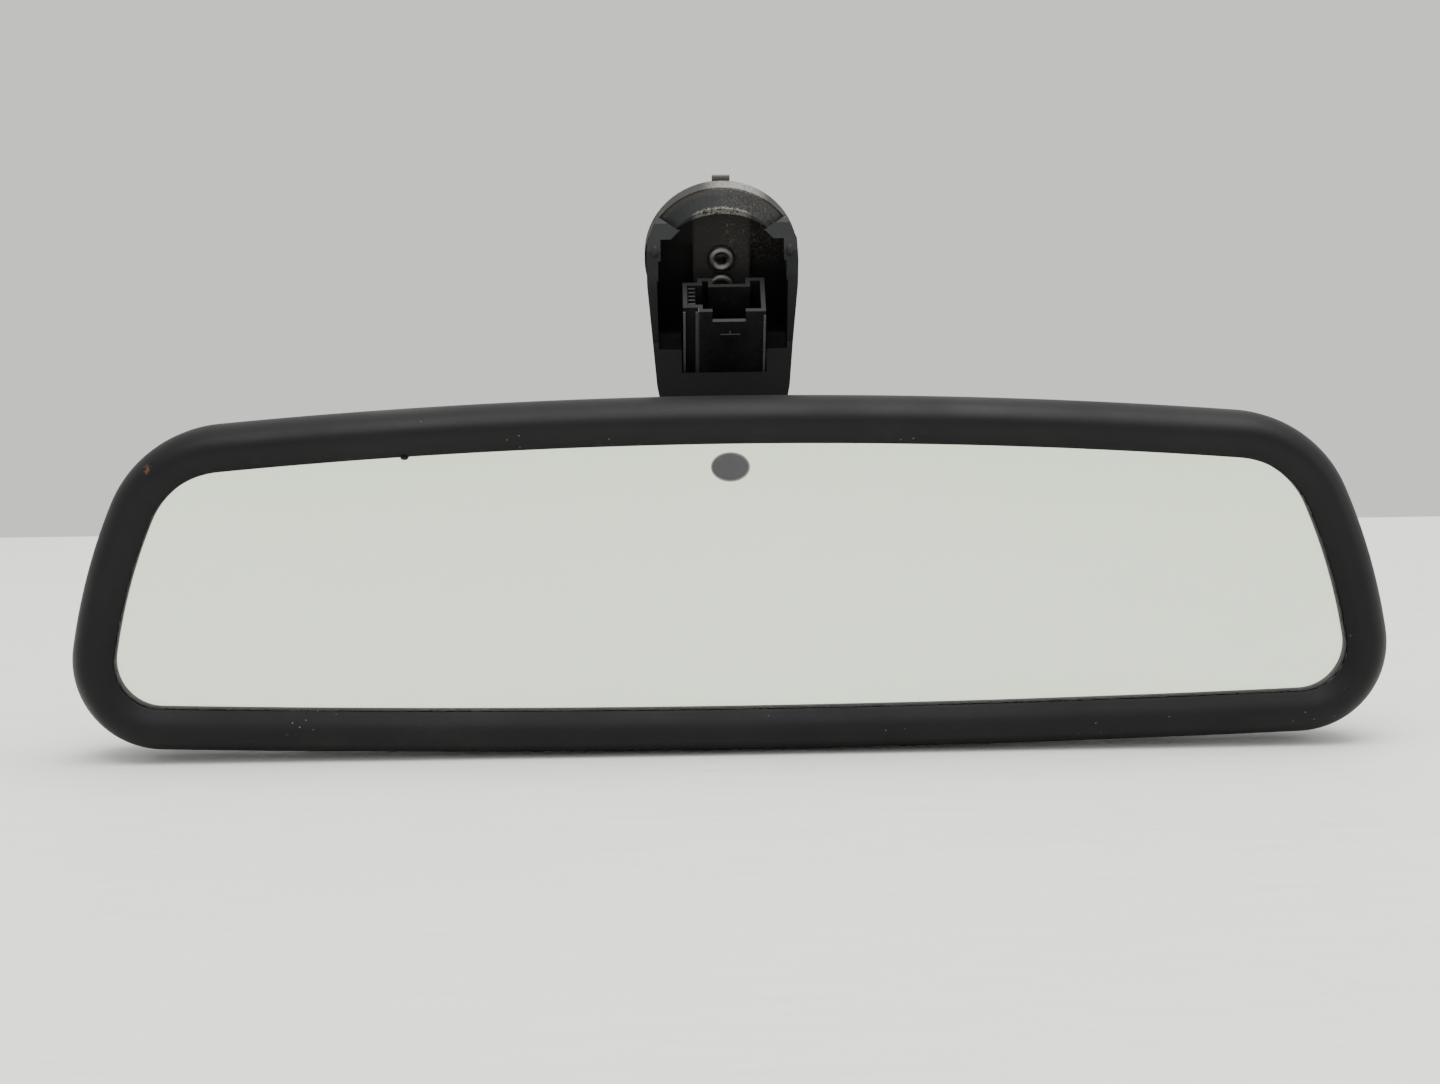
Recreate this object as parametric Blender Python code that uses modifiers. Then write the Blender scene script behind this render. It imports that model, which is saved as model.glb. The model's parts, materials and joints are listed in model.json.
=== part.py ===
"""Interior rearview mirror: a dimming head on a ball joint, held by a cast foot with a cable socket.

Metres, +Z up. +X is the mirror's width, -Y faces the driver. The origin is the middle of the
foot's seat, between its two rivets.
"""

from math import asin, atan2, cos, pi, radians, sin

import bmesh
import bpy
from mathutils import Matrix, Vector

MM = 0.001
GAP = 0.3  # clearance between pieces that touch on the real object

# Head outline, in millimetres from the head's centre
HALF_WIDTH = 125.0
TOP_Z, TOP_RADIUS = 34.0, 1150.0
BOTTOM_Z, BOTTOM_RADIUS = -32.7, 3290.0
SIDE_Z, SIDE_RADIUS = -29.6, 113.0
TOP_CORNER, BOTTOM_CORNER = 24.0, 17.0

# Head depths, measured back from the glass's front face
HEAD_CENTRE = (0.0, -60.0, -57.0)
FRAME_WIDTH = 8.4
FRAME_BACK = 9.0
GLASS_INSET = 5.4
FRONT_GLASS = (0.3, 1.4)
SEAL = (1.7, 2.1)
REAR_GLASS = (2.4, 4.2)
CLIP = (4.5, 4.8)
FOAM = (5.1, 5.9)
CARRIER = (6.2, 7.8)
BOARD = (9.4, 10.6)
HOUSING_FRONT = 9.3
HOUSING_DEPTH = 23.0
HOUSING_WALL = 2.0
CLIP_HALF_LENGTH = 82.0
LENS_RADIUS = 2.6
LENS_PLACE = (40.0, 4.0)

# Light window in the glass
WINDOW_Z = 21.1
WINDOW_HALF_X, WINDOW_HALF_Z = 3.65, 2.75

# Ball joint
BALL_CENTRE = (0.0, -35.0, -53.0)
BALL_RADIUS = 7.5
LINER = (7.8, 8.8)
TILT_RING = (9.1, 10.1)
SOCKET = (10.4, 12.2)
MOUTH_ANGLE = radians(54.0)
LEAD_ANGLE = radians(26.0)
RING_NUT_ANGLE = radians(80.0)
NECK_RADIUS = 3.9
WIRE_BORE = 2.0
STUD_LEAN = radians(-49.0)
STUD_LENGTH = 26.0
ARM_END = 19.5
BOSS_RADIUS = 6.2

# Foot
SEAT_TILT = radians(21.0)
DISC_RADIUS = 15.5
DISC_ABOVE_ORIGIN = 3.0
PLATE_STEEL = 0.8
RIVET_PITCH = 6.0
RIVET_RADIUS = 1.5
SOCKET_PLACE = (0.2, -15.0, -5.7)
SOCKET_LEAN = radians(37.0)

SOLIDS = None
CUTTERS = None
MATERIALS = {
    "cast_zinc": ((0.10, 0.10, 0.105), 0.42, 0.85),
    "spring_steel": ((0.36, 0.35, 0.33), 0.38, 1.0),
    "rivet_steel": ((0.42, 0.41, 0.39), 0.35, 1.0),
    "black_nylon": ((0.016, 0.016, 0.018), 0.45, 0.0),
    "pin_brass": ((0.55, 0.42, 0.20), 0.30, 1.0),
    "ball_steel": ((0.50, 0.50, 0.51), 0.22, 1.0),
    "wire_sleeve": ((0.02, 0.02, 0.02), 0.6, 0.0),
    "acetal": ((0.70, 0.69, 0.65), 0.4, 0.0),
    "frame_plastic": ((0.020, 0.020, 0.022), 0.55, 0.0),
    "housing_plastic": ((0.018, 0.018, 0.020), 0.6, 0.0),
    "front_glass": ((0.62, 0.66, 0.62), 0.03, 0.0),
    "mirror_glass": ((0.80, 0.83, 0.78), 0.02, 1.0),
    "seal_resin": ((0.25, 0.24, 0.20), 0.5, 0.0),
    "window_tint": ((0.10, 0.085, 0.11), 0.15, 0.0),
    "clip_copper": ((0.62, 0.40, 0.25), 0.35, 1.0),
    "foam": ((0.06, 0.06, 0.06), 0.95, 0.0),
    "carrier_plastic": ((0.05, 0.05, 0.05), 0.6, 0.0),
    "board_green": ((0.03, 0.16, 0.07), 0.45, 0.0),
    "sensor_black": ((0.015, 0.015, 0.015), 0.2, 0.0),
    "capacitor_can": ((0.45, 0.46, 0.48), 0.3, 1.0),
    "connector_white": ((0.72, 0.71, 0.66), 0.5, 0.0),
    "screw_zinc": ((0.55, 0.55, 0.52), 0.35, 1.0),
}


def clear_scene():
    for obj in list(bpy.data.objects):
        bpy.data.objects.remove(obj, do_unlink=True)


def new_collection(name):
    made = bpy.data.collections.new(name)
    bpy.context.scene.collection.children.link(made)
    return made


def material(name):
    found = bpy.data.materials.get(name)
    if found:
        return found
    colour, roughness, metallic = MATERIALS[name]
    made = bpy.data.materials.new(name)
    made.use_nodes = True
    shader = made.node_tree.nodes["Principled BSDF"]
    shader.inputs["Base Color"].default_value = (*colour, 1.0)
    shader.inputs["Roughness"].default_value = roughness
    shader.inputs["Metallic"].default_value = metallic
    return made


def add_object(name, mesh, finish=None, parent=None):
    """Links a mesh as a named part, or as a cutter where it has no finish."""
    obj = bpy.data.objects.new(name, mesh)
    if finish:
        SOLIDS.objects.link(obj)
        mesh.materials.append(material(finish))
    else:
        CUTTERS.objects.link(obj)
        obj.hide_render = True
        obj.display_type = "WIRE"
    obj.parent = parent
    return obj


def empty(name, place, turn=(0.0, 0.0, 0.0), parent=None):
    """place is in millimetres from the parent."""
    made = bpy.data.objects.new(name, None)
    SOLIDS.objects.link(made)
    made.location = Vector(place) * MM
    made.rotation_euler = turn
    made.empty_display_size = 0.01
    made.parent = parent
    return made


def mesh_of(bm, name):
    bmesh.ops.recalc_face_normals(bm, faces=bm.faces)
    mesh = bpy.data.meshes.new(name)
    bm.to_mesh(mesh)
    bm.free()
    return mesh


def smooth(obj, angle=35.0):
    obj.data.shade_smooth()
    obj.data.set_sharp_from_angle(angle=radians(angle))
    return obj


def box(name, size, place=(0, 0, 0), finish=None, parent=None, turn=(0, 0, 0)):
    bm = bmesh.new()
    bmesh.ops.create_cube(bm, size=1.0)
    bmesh.ops.scale(bm, vec=Vector(size) * MM, verts=bm.verts)
    obj = add_object(name, mesh_of(bm, name), finish, parent)
    obj.location = Vector(place) * MM
    obj.rotation_euler = turn
    return obj


def cone(name, radii, depth, place=(0, 0, 0), finish=None, parent=None, axis="Y", sides=32):
    """A round solid: radii at its low and high end along the axis, centred on place."""
    bm = bmesh.new()
    bmesh.ops.create_cone(bm, cap_ends=True, segments=sides, radius1=radii[0] * MM,
                          radius2=radii[1] * MM, depth=depth * MM)
    turn = {"X": Matrix.Rotation(pi / 2, 4, "Y"), "Y": Matrix.Rotation(-pi / 2, 4, "X"),
            "Z": Matrix.Identity(4)}[axis]
    bmesh.ops.transform(bm, matrix=turn, verts=bm.verts)
    obj = add_object(name, mesh_of(bm, name), finish, parent)
    obj.location = Vector(place) * MM
    return smooth(obj)


def cylinder(name, radius, depth, place=(0, 0, 0), finish=None, parent=None, axis="Y", sides=32):
    return cone(name, (radius, radius), depth, place, finish, parent, axis, sides)


def cut(obj, cutter, operation="DIFFERENCE"):
    made = obj.modifiers.new(f"{operation.lower()}_{cutter.name}", "BOOLEAN")
    made.operation = operation
    made.object = cutter
    made.solver = "EXACT"
    return made


def bevel(obj, width, segments=2, angle=40.0):
    made = obj.modifiers.new("rounded_edges", "BEVEL")
    made.width = width * MM
    made.segments = segments
    made.limit_method = "ANGLE"
    made.angle_limit = radians(angle)
    return made


def flat_curve(name, outlines, half_thickness):
    """A filled 2D curve: outlines after the first are holes."""
    curve = bpy.data.curves.new(name, "CURVE")
    curve.dimensions = "2D"
    curve.fill_mode = "BOTH"
    curve.extrude = half_thickness * MM
    for outline in outlines:
        spline = curve.splines.new("POLY")
        spline.points.add(len(outline) - 1)
        for point, (across, up) in zip(spline.points, outline):
            point.co = (across * MM, up * MM, 0.0, 1.0)
        spline.use_cyclic_u = True
    return curve


def solid_from_curve(name, curve, finish=None, parent=None, upright=True, place=(0, 0, 0)):
    """Makes a curve into a welded mesh. Upright turns its XY plane to XZ, facing -Y."""
    guide = bpy.data.objects.new(name + "_guide", curve)
    CUTTERS.objects.link(guide)
    if upright:
        guide.rotation_euler = (pi / 2, 0.0, 0.0)
    bpy.context.view_layer.update()
    graph = bpy.context.evaluated_depsgraph_get()
    mesh = bpy.data.meshes.new_from_object(guide.evaluated_get(graph))
    mesh.transform(guide.matrix_world)
    bpy.data.objects.remove(guide, do_unlink=True)
    bm = bmesh.new()
    bm.from_mesh(mesh)
    bmesh.ops.remove_doubles(bm, verts=bm.verts, dist=1e-6)
    bmesh.ops.recalc_face_normals(bm, faces=bm.faces)
    bm.to_mesh(mesh)
    bm.free()
    mesh.materials.clear()
    obj = add_object(name, mesh, finish, parent)
    obj.location = Vector(place) * MM
    return smooth(obj, 30.0)


def plate(name, outlines, thickness, back_of, finish=None, parent=None):
    """An upright flat piece whose front face is back_of millimetres behind its parent."""
    curve = flat_curve(name, outlines, thickness / 2)
    return solid_from_curve(name, curve, finish, parent, place=(0, back_of + thickness / 2, 0))


def turned(name, profile, finish=None, parent=None, steps=28):
    """A Screw about local Z. The profile runs down its outer side, top to bottom."""
    mesh = bpy.data.meshes.new(name)
    points = [(radius * MM, 0.0, height * MM) for radius, height in profile]
    edges = [(i, i + 1) for i in range(len(points) - 1)]
    if profile[0][0] > 0:
        edges.append((len(points) - 1, 0))
    mesh.from_pydata(points, edges, [])
    obj = add_object(name, mesh, finish, parent)
    screw = obj.modifiers.new("turned", "SCREW")
    screw.steps = steps
    screw.render_steps = steps
    screw.use_merge_vertices = True
    screw.merge_threshold = 1e-5
    screw.use_smooth_shade = False
    return obj


def arc(centre, radius, start, end, count):
    """count + 1 points on an arc, angles in radians."""
    turns = [start + (end - start) * i / count for i in range(count + 1)]
    return [(centre[0] + radius * cos(turn), centre[1] + radius * sin(turn)) for turn in turns]


def ellipse(centre, half_x, half_z, count=24):
    return [(centre[0] + half_x * cos(2 * pi * i / count),
             centre[1] + half_z * sin(2 * pi * i / count)) for i in range(count)]


def rectangle(low_x, low_z, high_x, high_z):
    return [(low_x, low_z), (high_x, low_z), (high_x, high_z), (low_x, high_z)]


def crossing(first, first_radius, second, second_radius, prefer):
    """Where two circles cross, on the side that prefer scores highest."""
    along = Vector(second) - Vector(first)
    length = along.length
    reach = (first_radius ** 2 - second_radius ** 2 + length ** 2) / (2 * length)
    side = (first_radius ** 2 - reach ** 2) ** 0.5
    middle = Vector(first) + along / length * reach
    off = Vector((-along.y, along.x)) / length * side
    return max((middle + off, middle - off), key=prefer)


def bearing(centre, point):
    return atan2(point[1] - centre[1], point[0] - centre[0])


def head_outline(inset=0.0):
    """The head's outline, as points from the top middle round its right side and back up the left."""
    top = Vector((0.0, TOP_Z - TOP_RADIUS))
    bottom = Vector((0.0, BOTTOM_Z + BOTTOM_RADIUS))
    side = Vector((HALF_WIDTH - SIDE_RADIUS, SIDE_Z))
    upper = crossing(top, TOP_RADIUS - TOP_CORNER, side, SIDE_RADIUS - TOP_CORNER, lambda p: p.x + p.y)
    lower = crossing(bottom, BOTTOM_RADIUS - BOTTOM_CORNER, side, SIDE_RADIUS - BOTTOM_CORNER,
                     lambda p: p.x - p.y)
    top_end, side_start = bearing(top, upper), bearing(side, upper)
    side_end, bottom_start = bearing(side, lower), bearing(bottom, lower)
    half = arc(top, TOP_RADIUS - inset, pi / 2, top_end, 6)
    half += arc(upper, TOP_CORNER - inset, top_end, side_start, 6)[1:]
    half += arc(side, SIDE_RADIUS - inset, side_start, side_end, 3)[1:]
    half += arc(lower, BOTTOM_CORNER - inset, side_end, bottom_start, 6)[1:]
    half += arc(bottom, BOTTOM_RADIUS - inset, bottom_start, -pi / 2, 3)[1:]
    return half + [(-x, z) for x, z in half[-2:0:-1]]


def seat_line(height, ahead):
    """The y of a point this high, and this far ahead of the seat's plane."""
    return -height * sin(SEAT_TILT) / cos(SEAT_TILT) - ahead / cos(SEAT_TILT)


def on_stud(along, across=0.0):
    """(y, z) of a point along the stud from the ball's centre, and across it towards the ground."""
    back, up = -sin(STUD_LEAN), cos(STUD_LEAN)
    return (BALL_CENTRE[1] + along * back + across * up, BALL_CENTRE[2] + along * up - across * back)


def side_profile():
    """The arm seen from the driver's right: (y, z) of its back, its lower end and its front."""
    return [
        (seat_line(11.0, 1.5), 11.0), (seat_line(-15.5, 1.5), -15.5), (1.6, -21.0), (-7.6, -34.0),
        on_stud(ARM_END + 2.5, 7.0), on_stud(ARM_END + 2.5, -7.0), (-14.6, -29.6), (-11.0, -26.2),
        (-10.4, -19.0), (-10.2, -15.4), (seat_line(-2.0, 13.6), -2.0), (seat_line(3.0, 12.6), 3.0),
        (seat_line(8.5, 9.2), 8.5), (seat_line(12.4, 5.4), 12.4), (seat_line(12.4, 3.0), 12.4),
    ]


def front_profile():
    """The arm seen from the driver: (x, z)."""
    right = [(8.8, 7.2), (12.9, 9.9), (14.9, 5.4), (15.15, 1.0), (15.05, -4.0), (14.2, -14.0), (13.35, -24.0),
             (12.2, -30.0), (8.6, -38.0), (6.0, -46.0)]
    return right + [(-x, z) for x, z in reversed(right)]


def arm_blank():
    blank = solid_from_curve("foot_casting", flat_curve("arm_side", [side_profile()], 17.0), "cast_zinc")
    blank.data.transform(Matrix.Rotation(pi / 2, 4, "Z"))
    front = solid_from_curve("arm_front", flat_curve("arm_front", [front_profile()], 60.0))
    cut(blank, front, "INTERSECT")
    return blank


def recess_outline(half_width, shoulder, arch_half, arch_top):
    """The foot's open front: straight sides, square shoulders, and a flat arch between them."""
    rise = arch_top - shoulder
    radius = (arch_half ** 2 + rise ** 2) / (2 * rise)
    start = asin((radius - rise) / radius)
    arch = arc((0.0, arch_top - radius), radius, start, pi - start, 12)
    right = [(half_width + 0.6, -12.0), (half_width + 0.8, 2.0), (half_width, 2.4), (half_width, shoulder)]
    return right + arch + [(-x, z) for x, z in reversed(right)]


def foot_casting(seat, socket):
    casting = arm_blank()
    rim = cylinder("foot_rim", DISC_RADIUS, 3.7, (0, -2.95, DISC_ABOVE_ORIGIN), parent=seat, sides=64)
    crown = cone("foot_crown", (12.2, DISC_RADIUS - 0.2), 3.3, (0, -6.3, DISC_ABOVE_ORIGIN),
                 parent=seat, sides=64)
    cut(casting, rim, "UNION")
    cut(casting, crown, "UNION")
    cut(casting, cylinder("arm_boss", BOSS_RADIUS, 9.0, (0, 0, ARM_END + 4.5),
                          parent=bpy.data.objects["stud_frame"], axis="Z", sides=32), "UNION")
    recess = solid_from_curve("recess", flat_curve("recess", [recess_outline(12.3, 10.0, 10.2, 14.1)], 10.0),
                              parent=seat, place=(0, -14.0, 0))
    cut(casting, recess)
    for side in (-1, 1):
        pocket = box(f"pocket_{side}", (7.0, 14.0, 17.4), (side * 9.3, -9.4, -2.6), parent=seat)
        cut(casting, pocket)
    cut(casting, box("socket_slot", (17.0, 11.5, 22.0), (0, -0.2, -8.8), parent=socket))
    for side, height in enumerate((RIVET_PITCH / 2, -RIVET_PITCH / 2)):
        cut(casting, cylinder(f"rivet_hole_{side}", RIVET_RADIUS + GAP, 12, (0, 0, height),
                              parent=seat, sides=20))
    stud_frame = bpy.data.objects["stud_frame"]
    bore_length = STUD_LENGTH + GAP - ARM_END + 4
    cut(casting, cylinder("stud_bore", NECK_RADIUS + GAP, bore_length,
                          (0, 0, ARM_END - 4 + bore_length / 2), parent=stud_frame, axis="Z", sides=28))
    high, low = channel_ends()
    channel = cylinder("wire_channel", WIRE_BORE, (high - low).length + 2, (low + high) / 2,
                       axis="Z", sides=16)
    channel.rotation_euler = (atan2(-(high - low).y, (high - low).z), 0, 0)
    cut(casting, channel)
    weld = casting.modifiers.new("joined_corners", "WELD")
    weld.merge_threshold = 0.05 * MM
    bevel(casting, 0.35, 1, 50)
    return smooth(casting)


def spring_plate(seat):
    centre = (0.0, DISC_ABOVE_ORIGIN)
    radius, tab_top, tab_half = 14.9, 16.3, 1.8
    lean = asin(tab_half / radius)
    outline = arc(centre, radius, pi / 2 + lean, 2.5 * pi - lean, 48)
    outline += [(tab_half, DISC_ABOVE_ORIGIN + tab_top), (-tab_half, DISC_ABOVE_ORIGIN + tab_top)]
    holes = [ellipse((0, height), RIVET_RADIUS + GAP, RIVET_RADIUS + GAP, 20)
             for height in (RIVET_PITCH / 2, -RIVET_PITCH / 2)]
    steel = solid_from_curve("spring_plate", flat_curve("spring_plate", [outline, *holes], PLATE_STEEL / 2),
                             "spring_steel", seat, place=(0, -PLATE_STEEL / 2, 0))
    for side, facing in enumerate((0.0, pi)):
        jaw_outline = arc(centre, 13.6, facing - 0.62, facing + 0.62, 10)
        jaw_outline += arc(centre, 12.4, facing + 0.62, facing - 0.62, 10)
        jaw = solid_from_curve(f"jaw_{side}", flat_curve(f"jaw_{side}", [jaw_outline], 1.7),
                               parent=seat, place=(0, 1.3, 0))
        lip_outline = arc(centre, 13.2, facing - 0.59, facing + 0.59, 9)
        lip_outline += arc(centre, 11.0, facing + 0.59, facing - 0.59, 9)
        lip = solid_from_curve(f"lip_{side}", flat_curve(f"lip_{side}", [lip_outline], 0.4),
                               parent=seat, place=(0, 2.9, 0))
        cut(steel, jaw, "UNION")
        cut(steel, lip, "UNION")
    return steel


def rivet(name, height, seat):
    ahead, bore, head_radius = 4.35, 1.0, 2.8
    roll = arc(((bore + head_radius) / 2, ahead + 0.25), (head_radius - bore) / 2, pi, 0.0, 8)
    profile = [(0, 1.4), (bore, 1.4), *roll, (head_radius, ahead), (RIVET_RADIUS, ahead),
               (RIVET_RADIUS, 0.1), (0, 0.1)]
    obj = turned(name, profile, "rivet_steel", seat, 24)
    obj.location = Vector((0, 0, height)) * MM
    obj.rotation_euler = (pi / 2, 0, 0)
    return smooth(obj)


def socket_outline(inset):
    """The cable socket's mouth: a wide body, a narrower wing on the driver's left, a keyed back."""
    body, wing, thick, thin = 8.2, -5.2, 5.25, 3.9
    return [
        (wing + inset, -thick + inset), (body - inset, -thick + inset), (body - inset, thick - inset),
        (4.4 + inset, thick - inset), (4.4 + inset, thick - 1.9 - inset), (-2.2 - inset, thick - 1.9 - inset),
        (-2.2 - inset, thick - inset), (wing + inset, thick - inset), (wing + inset, thin - inset),
        (-body + inset, thin - inset), (-body + inset, -thin + inset), (wing + inset, -thin + inset),
    ]


def connector_housing(socket):
    length, floor, wall = 19.0, 4.0, 0.9
    body = flat_curve("socket_body", [socket_outline(0)], length / 2)
    housing = solid_from_curve("connector_housing", body, "black_nylon", socket, upright=False,
                               place=(0, 0, -length / 2))
    depth = length - floor
    hollow = flat_curve("socket_cavity", [socket_outline(wall)], depth / 2 + 1)
    cavity = solid_from_curve("socket_cavity", hollow, parent=socket, upright=False,
                              place=(0, 0, -depth / 2 + 1))
    cut(housing, cavity)
    cut(housing, box("latch_window", (6.6, 3.0, 5.2), (0.9, -5.25, 0), parent=socket))
    for index in range(4):
        cut(housing, box(f"pin_hole_{index}", (1.3, 1.3, 10), (pin_place(index), 0, -length), parent=socket))
    for index, (across, proud) in enumerate(((-7.95, 0.5), (-5.5, 0.5), (7.97, 0.25))):
        ridge = box(f"ridge_{index}", (0.45, 2 * proud, 16.0), (across, -thin_face(across), -8.9),
                    parent=socket)
        cut(housing, ridge, "UNION")
    return housing


def thin_face(across):
    return 3.9 if across < -5.2 else 5.25


def pin_place(index):
    return -3.0 + 2.6 * index


def contact_pins(socket):
    for index in range(4):
        box(f"contact_pin_{index + 1}", (0.64, 0.64, 12.0), (pin_place(index), 0, -12.6), "pin_brass", socket)


def shell_profile(inner, outer, low_angle, high_angle, count=7):
    """A slice of a hollow ball, angles measured from the stud's direction."""
    def point(radius, angle):
        return (radius * sin(angle), radius * cos(angle))
    span = [low_angle + (high_angle - low_angle) * i / count for i in range(count + 1)]
    return [point(outer, angle) for angle in span] + [point(inner, angle) for angle in reversed(span)]


def ball_stud(frame):
    neck_angle = asin(NECK_RADIUS / BALL_RADIUS)
    bore_angle = pi - asin(WIRE_BORE / BALL_RADIUS)
    count = 11
    span = [neck_angle + (bore_angle - neck_angle) * i / count for i in range(count + 1)]
    profile = [(WIRE_BORE, STUD_LENGTH), (NECK_RADIUS, STUD_LENGTH)]
    profile += [(BALL_RADIUS * sin(angle), BALL_RADIUS * cos(angle)) for angle in span]
    return smooth(turned("ball_stud", profile, "ball_steel", frame, 28))


def tube(name, route, radius, finish, parent=None):
    curve = bpy.data.curves.new(name, "CURVE")
    curve.dimensions = "3D"
    curve.bevel_depth = radius * MM
    curve.bevel_resolution = 2
    curve.use_fill_caps = True
    spline = curve.splines.new("POLY")
    spline.points.add(len(route) - 1)
    for point, place in zip(spline.points, route):
        point.co = (*(Vector(place) * MM), 1.0)
    return solid_from_curve(name, curve, finish, parent, upright=False)


def channel_ends():
    """The wire channel in the arm, from under the cable socket to the stud's bore."""
    return Vector((0, -4.6, -22.7)), Vector((0, *on_stud(STUD_LENGTH - 2)))


def wire_loom():
    """The sleeve from the cable socket, down the arm and into the stud's bore."""
    top, bottom = channel_ends()
    route = [top.lerp(bottom, share) for share in (0.16, 0.5, 0.88)]
    route += [Vector((0, *on_stud(along))) for along in (21.0, 9.0)]
    return tube("wire_loom", route, 1.0, "wire_sleeve")


def pivot_rings(frame):
    liner = turned("ball_liner", shell_profile(*LINER, MOUTH_ANGLE, pi - LEAD_ANGLE), "acetal", frame)
    ring = turned("tilt_ring", shell_profile(*TILT_RING, MOUTH_ANGLE, pi - LEAD_ANGLE), "acetal", frame)
    smooth(liner)
    smooth(ring)


def socket_housing(head, frame):
    """The cup that holds the pivot, on a round base screwed to the carrier plate."""
    inner, outer = SOCKET
    rim_height, cut_height = inner * cos(RING_NUT_ANGLE), 30.0
    cup = add_object("socket_housing", ball_mesh("socket_housing", outer), "carrier_plastic", frame)
    front, stem_back = CARRIER[1] + GAP, 17.0
    centre_z = BALL_CENTRE[2] - HEAD_CENTRE[2]
    base = cylinder("socket_base", 13.2, 2.0, (0, front + 1.0, centre_z), parent=head, sides=36)
    stem = cylinder("socket_stem", 8.8, stem_back - front, (0, (front + stem_back) / 2, centre_z),
                    parent=head, sides=40)
    cut(cup, stem, "UNION")
    cut(cup, base, "UNION")
    cut(cup, ball_cutter("socket_well", inner, frame))
    cut(cup, cylinder("socket_mouth", outer + 4, cut_height, (0, 0, rim_height + cut_height / 2),
                      parent=frame, axis="Z", sides=40))
    cut(cup, cylinder("lead_hole", 4.2, 30, (0, 8.0, centre_z), parent=head, sides=24))
    cut(cup, box("lead_gate", (10, 3.2, 4), (8, 13.0, centre_z), parent=head))
    for index, (x, z) in enumerate(socket_screw_places()):
        cut(cup, cylinder(f"socket_screw_hole_{index}", 1.0 + GAP, 12, (x, 10, centre_z + z),
                          parent=head, sides=16))
    return smooth(cup)


def ball_cutter(name, radius, frame):
    obj = add_object(name, ball_mesh(name, radius))
    obj.parent = frame
    return obj


def ball_mesh(name, radius):
    bm = bmesh.new()
    bmesh.ops.create_uvsphere(bm, u_segments=28, v_segments=16, radius=radius * MM)
    return mesh_of(bm, name)


def socket_screw_places():
    return [(11.4 * cos(radians(turn)), 11.4 * sin(radians(turn))) for turn in (30, 150, 270)]


def ring_nut(frame):
    """The threaded ring that closes the cup behind the ball's middle."""
    inner, outer = SOCKET
    profile = shell_profile(inner, outer, MOUTH_ANGLE, RING_NUT_ANGLE - radians(2.0), 6)
    return smooth(turned("socket_ring_nut", profile, "housing_plastic", frame, 32))


def screw(name, head_front, length, x, z, parent, shank=1.3, head_radius=2.6):
    """A pan-head screw driven towards the back, its head's front at head_front."""
    thick, slot = 1.2, 0.5
    profile = [(0, length), (shank * 0.6, length), (shank, length - 0.8), (shank, thick), (head_radius, thick),
               (head_radius, slot), (head_radius - 0.5, 0), (0.9, 0), (0.5, slot), (0, slot)]
    obj = turned(name, profile, "screw_zinc", parent, 16)
    obj.location = Vector((x, head_front, z)) * MM
    obj.rotation_euler = (-pi / 2, 0, 0)
    return smooth(obj)


def front_frame(head):
    """The frame: its section swept round the head's outline."""
    wall = 2.0
    crown = arc((4.2, 1.8), 4.2, pi, 1.5 * pi, 5)
    crown += [(5.9, -1.9), (7.3, -0.9), (FRAME_WIDTH, -0.1)]
    back = [(5.8, 0.0), (4.6, 0.0), (4.6, 2.0), (wall, 4.0), (wall, FRAME_BACK)]
    section = [(0.35, FRAME_BACK), (0.0, 6.0)] + crown + back
    guide = bpy.data.curves.new("frame_section", "CURVE")
    guide.dimensions = "2D"
    spline = guide.splines.new("POLY")
    spline.points.add(len(section) - 1)
    for point, (inset, behind) in zip(spline.points, section):
        point.co = (inset * MM, -behind * MM, 0.0, 1.0)
    spline.use_cyclic_u = True
    section_object = bpy.data.objects.new("frame_section", guide)
    CUTTERS.objects.link(section_object)
    section_object.hide_render = True
    section_object.display_type = "WIRE"
    curve = flat_curve("front_frame", [list(reversed(head_outline()))], 0.0)
    curve.fill_mode = "NONE"
    curve.extrude = 0.0
    curve.bevel_mode = "OBJECT"
    curve.bevel_object = section_object
    return solid_from_curve("front_frame", curve, "frame_plastic", head)


def housing_ring(inset, depth, shrink=1.0):
    """A ring of the rear housing: inset from the outline, and less deep towards its ends."""
    return [(x * shrink, HOUSING_FRONT + depth * (1 - 0.42 * (x * shrink / HALF_WIDTH) ** 2), z * shrink)
            for x, z in head_outline(inset)]


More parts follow.
